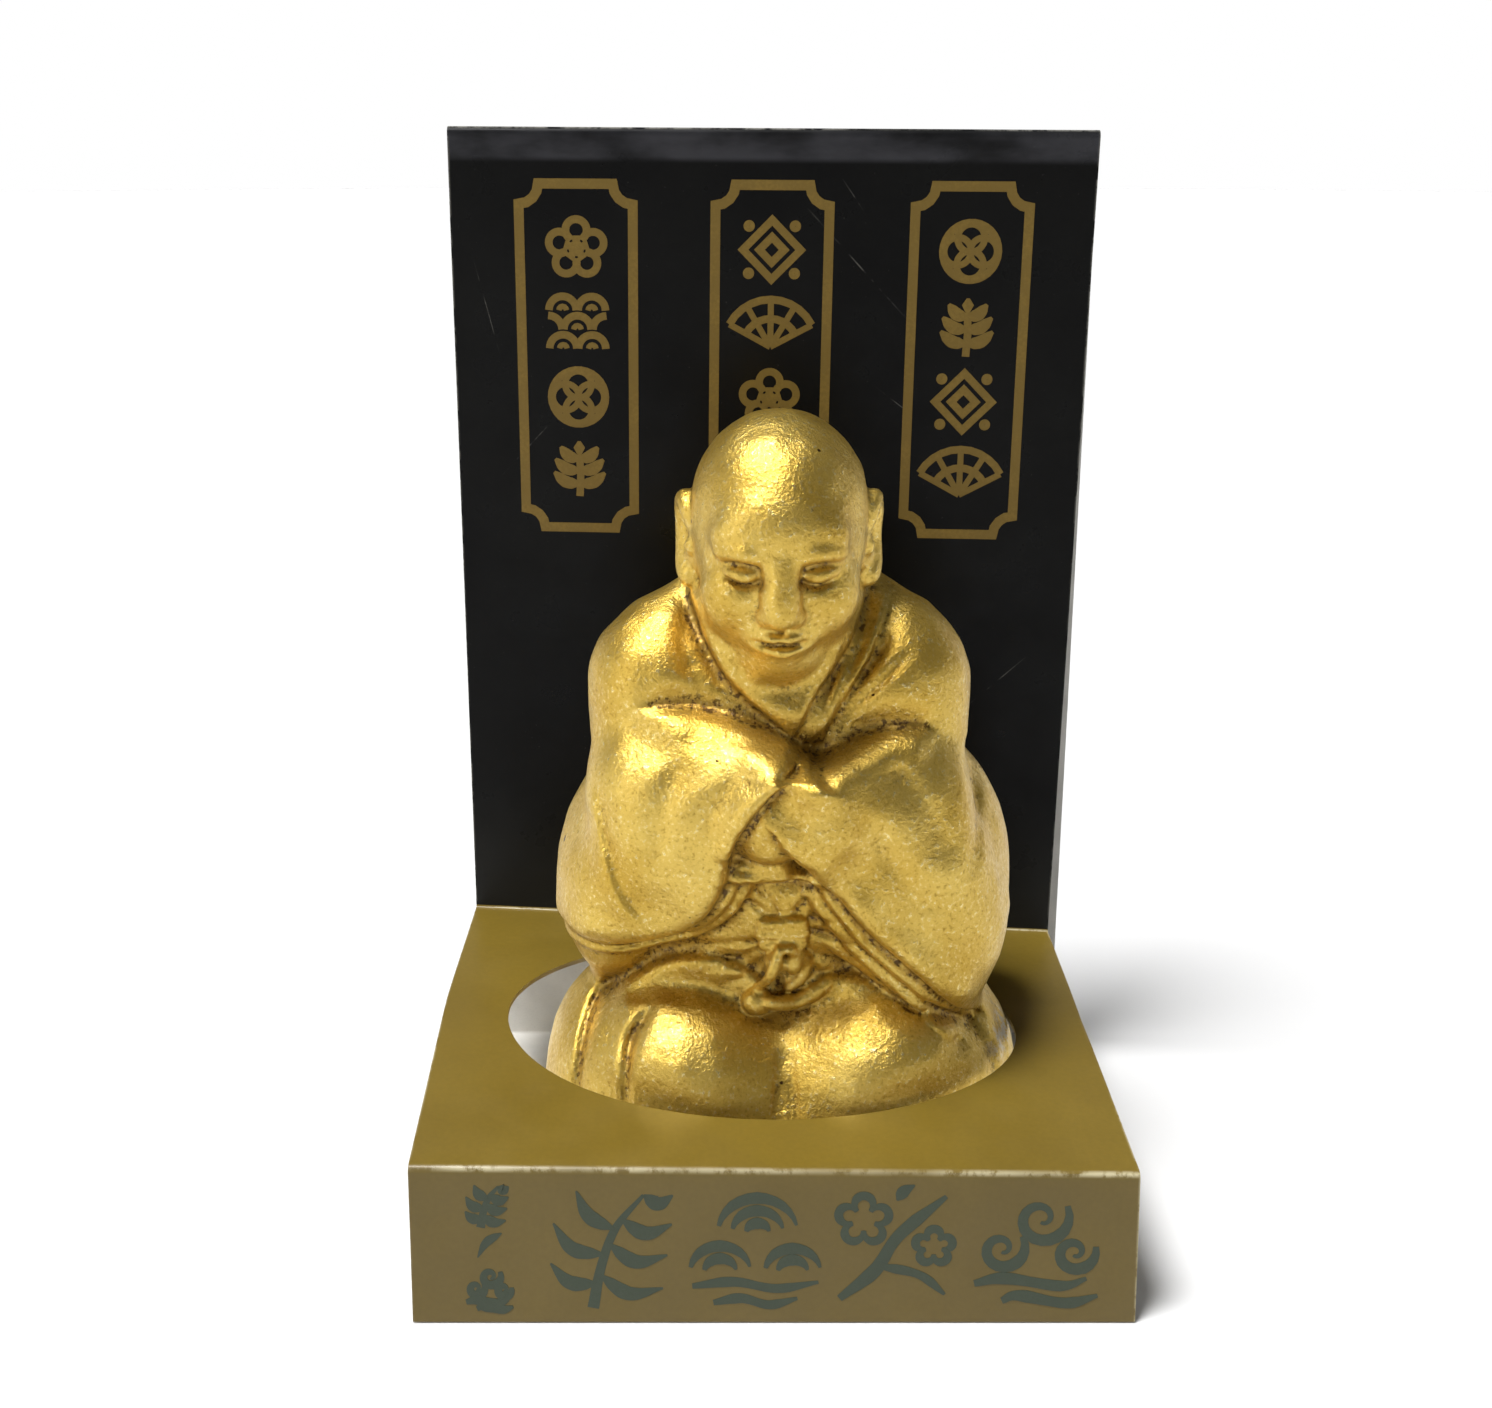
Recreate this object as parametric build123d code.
from build123d import *
import os
from math import atan2, cos, degrees, pi, radians, sin, tan

# Lucky figurine in a folded board display stand. Millimetres, +Z up, +Y to the back.
# The stand is one creased strip of laminated board, bent round into an open-sided loop.
# Its section lies in the YZ plane, and every panel is as wide as the strip, along X.
# Section points are (y, z) pairs on the board's middle surface.

# --- driving dimensions: board stand ---
board_t = 0.45             # thickness of the laminated board
stand_w = 62.0             # width of the strip, along X
stand_depth = 51.6         # outside depth of the loop on the table
front_h = 13.6             # front panel, along its slope
front_lean = 8.0           # how far the front panel leans back, degrees
flap_h = 10.0              # glue flap behind the front panel
deck_h = 15.7              # height of the deck where it meets the backboard
deck_rear_len = 20.8       # deck, from its own crease back to the backboard
deck_rear_slope = 0.3      # rise of the rear half of the deck, degrees
backboard_inset = 3.3      # backboard stands this far ahead of the rear fold
backboard_h = 81.3         # backboard, from the deck to the top fold
top_fold_r = 0.5           # radius of the top fold, on the board's middle surface
cut_edge_lift = 0.15       # the front panel's cut edge clears the table by this

# --- driving dimensions: oval opening in the deck ---
hole_w = 49.6
hole_d = 33.7

# --- clearances ---
crease_gap = 0.2           # between two panels that bend about one crease
open_fold_gap = 0.3        # at the deck and backboard fold, where the loop is opened
flap_slack = 0.01          # glue film between the flap and the front panel
seat_gap_x = 1.8           # figurine to the oval opening, each side, when centred
seat_gap_y = 1.3           # figurine to the oval opening, front and back

# --- driving dimensions: figurine ---
figure_h = 74.8            # from the foot to the crown
figure_x = 1.0             # the figurine stands this far right of the stand's middle
foot_chamfer = 0.8
lap_w = 41.0               # across the robe where the sleeves hang over the lap
lap_d = 28.5
lap_h = 21.5
sleeve_w = 41.5            # across the hanging sleeves at their widest
sleeve_d = 25.0
sleeve_h = 32.0
shoulder_w = 32.5
shoulder_d = 21.0
shoulder_h = 48.0
collar_w = 15.0
collar_d = 14.0
collar_h = 57.5
neck_h = 63.0              # the neck ends inside the head
head_w = 16.4
head_len = 23.0
head_y = -2.2              # the head is carried a little ahead of the body
head_bow = 10.0            # and bows forward, degrees
ear_w = 4.4
ear_len = 8.0
arm_r = 5.4                # forearm inside its sleeve
arm_h = 41.0               # height at which the forearms cross
elbow_drop = 9.0           # the elbows hang this far below the crossing
elbow_inset = 6.5          # and this far inside the sleeves
knee_r = 7.6
knee_spread = 10.4         # from the middle to each knee
knee_h = 15.5
knee_inset = 1.9           # knees stay this far behind the front of the foot
body_sections = 20

half_t = board_t / 2


def along(point, angle, length):
    """Point reached from a (y, z) point at an angle from +Y, in degrees."""
    return (point[0] + length * cos(radians(angle)), point[1] + length * sin(radians(angle)))


def direction(start, end):
    return degrees(atan2(end[1] - start[1], end[0] - start[0]))


# --- section of the loop ---
fold_rear = (stand_depth / 2 - half_t, half_t)
front_angle = 90.0 - front_lean
front_outer_y = -stand_depth / 2 + cut_edge_lift * tan(radians(front_lean))
front_foot = (front_outer_y + half_t / sin(radians(front_angle)), cut_edge_lift)
fold_front = along(front_foot, front_angle, front_h)
front_rise = (half_t - cut_edge_lift) / sin(radians(front_angle))
flap_offset = (board_t + flap_slack) / sin(radians(front_angle))
fold_floor = (along(front_foot, front_angle, front_rise)[0] + flap_offset, half_t)
fold_deck = (stand_depth / 2 - backboard_inset, deck_h)
deck_crease = along(fold_deck, 180.0 + deck_rear_slope, deck_rear_len)
top_front = (fold_deck[0], deck_h + backboard_h)
top_rear = (top_front[0] + 2 * top_fold_r, top_front[1])
deck_dir = direction(fold_front, deck_crease)


def yz_plate(outline):
    """Plate as wide as the strip, from a closed outline of (y, z) points."""
    face = Plane.YZ * make_face(Polyline(*outline, close=True))
    return extrude(face, amount=stand_w / 2, both=True)


def yz_rod(center, radius):
    """Round bar along X at a (y, z) point, for the bend of a crease."""
    return extrude(Plane.YZ * Pos(*center) * Circle(radius), amount=stand_w / 2, both=True)


def slab(start, end):
    """Flat panel between two points of the section, square at both ends."""
    angle = direction(start, end)
    sides = [(start, 90), (end, 90), (end, -90), (start, -90)]
    return yz_plate([along(point, angle + turn, half_t) for point, turn in sides])


def bend_space(center, gap):
    """Room left round a crease for the neighbouring panel's rounded edge."""
    return yz_rod(center, half_t + gap)


def oval_opening():
    column = extrude(Ellipse(hole_w / 2, hole_d / 2), amount=deck_h + front_h)
    return column


def make_floor_panel():
    panel = slab(fold_floor, fold_rear) + yz_rod(fold_rear, half_t)
    return panel - bend_space(fold_floor, crease_gap)


def make_glue_flap():
    top = along(fold_floor, front_angle, flap_h)
    return slab(fold_floor, top) + yz_rod(fold_floor, half_t)


def make_front_panel():
    return slab(front_foot, fold_front) + yz_rod(fold_front, half_t)


def make_deck_front_panel():
    past_crease = along(deck_crease, deck_dir, board_t)
    panel = slab(fold_front, past_crease) - yz_half(-1)
    return panel - bend_space(fold_front, crease_gap) - oval_opening()


def yz_half(y_side):
    """Everything beyond the deck's crease plane: -1 keeps the front half, +1 the rear half."""
    tilt = (deck_dir + deck_rear_slope) / 2
    upper = along(deck_crease, tilt + 90, stand_depth)
    lower = along(deck_crease, tilt - 90, stand_depth)
    far = -y_side * stand_depth
    corners = [upper, along(upper, tilt, far), along(lower, tilt, far), lower]
    return yz_plate(corners)


def make_deck_rear_panel():
    past_crease = along(deck_crease, deck_rear_slope, -board_t)
    panel = slab(past_crease, fold_deck) - yz_half(1)
    return panel - bend_space(fold_deck, open_fold_gap) - oval_opening()


def make_backboard_panel():
    return slab(fold_deck, top_front) + yz_rod(fold_deck, half_t)


def make_top_fold():
    middle = (top_front[0] + top_fold_r, top_front[1])
    ring = Circle(top_fold_r + half_t) - Circle(top_fold_r - half_t)
    upper = Pos(0, top_fold_r + half_t) * Rectangle(stand_depth, 2 * (top_fold_r + half_t))
    face = Plane.YZ * Pos(*middle) * (ring & upper)
    return extrude(face, amount=stand_w / 2, both=True)


def make_rear_panel():
    top = [(top_rear[0] - half_t, top_rear[1]), (top_rear[0] + half_t, top_rear[1])]
    angle = direction(fold_rear, top_rear)
    foot = [along(fold_rear, angle - 90, half_t), along(fold_rear, angle + 90, half_t)]
    return yz_plate(top + foot) - bend_space(fold_rear, crease_gap)


def egg(width, length):
    """Upright egg: a half ellipse turned about Z."""
    half = Ellipse(width / 2, length / 2) & Pos(width / 2, 0) * Rectangle(width, 2 * length)
    return revolve(Plane.XZ * half, axis=Axis.Z)


def eased(levels, height):
    """Width and depth at a height, eased between the (height, width, depth) levels around it."""
    for low, high in zip(levels, levels[1:]):
        if height <= high[0]:
            break
    share = (1 - cos(pi * (height - low[0]) / (high[0] - low[0]))) / 2
    return [a + (b - a) * share for a, b in zip(low[1:], high[1:])]


def make_robe():
    """Robe from the foot up to the neck, as one smooth loft of ovals."""
    foot_w = hole_w - 2 * seat_gap_x
    foot_d = hole_d - 2 * seat_gap_y
    levels = [
        (0, foot_w, foot_d),
        (lap_h / 2, foot_w, foot_d),
        (lap_h, lap_w, lap_d),
        (sleeve_h, sleeve_w, sleeve_d),
        (shoulder_h, shoulder_w, shoulder_d),
        (collar_h, collar_w, collar_d),
        (neck_h, collar_w, collar_d),
    ]
    sections = []
    for step in range(body_sections):
        height = neck_h * step / (body_sections - 1)
        width, depth = eased(levels, height)
        sections.append(Pos(0, 0, height) * Ellipse(width / 2, depth / 2))
    robe = loft(sections)
    return chamfer(robe.edges().sort_by(Axis.Z)[0], foot_chamfer)


def make_arm(side):
    """One forearm in its sleeve, from the elbow up to the crossing."""
    elbow = Vector(side * (sleeve_w / 2 - elbow_inset), -sleeve_d / 4, arm_h - elbow_drop)
    hand = Vector(-side * arm_r / 2, -shoulder_d / 2, arm_h)
    forearm = Plane(elbow, z_dir=hand - elbow) * extrude(Circle(arm_r), amount=(hand - elbow).length)
    return forearm + Pos(*elbow) * Sphere(arm_r) + Pos(*hand) * Sphere(arm_r)


def make_figurine():
    """Cast figure with a bowed head, folded arms in wide sleeves and rounded knees."""
    head_z = figure_h - head_len / 2
    knee_y = knee_r + knee_inset + seat_gap_y - hole_d / 2
    shape = make_robe() + Pos(0, head_y, head_z) * Rot(head_bow, 0, 0) * egg(head_w, head_len)
    for side in (-1, 1):
        shape += Pos(side * head_w / 2, head_y + 1.5, head_z - 1.5) * egg(ear_w, ear_len)
        shape += Pos(side * knee_spread, knee_y, knee_h) * Sphere(knee_r)
        shape += make_arm(side)
    return Pos(figure_x, 0, board_t) * shape


makers = {
    "floor_panel": make_floor_panel,
    "glue_flap": make_glue_flap,
    "front_panel": make_front_panel,
    "deck_front_panel": make_deck_front_panel,
    "deck_rear_panel": make_deck_rear_panel,
    "backboard_panel": make_backboard_panel,
    "top_fold": make_top_fold,
    "rear_panel": make_rear_panel,
    "figurine": make_figurine,
}

os.makedirs("parts", exist_ok=True)
for node, maker in makers.items():
    export_step(maker(), f"parts/{node}.step")
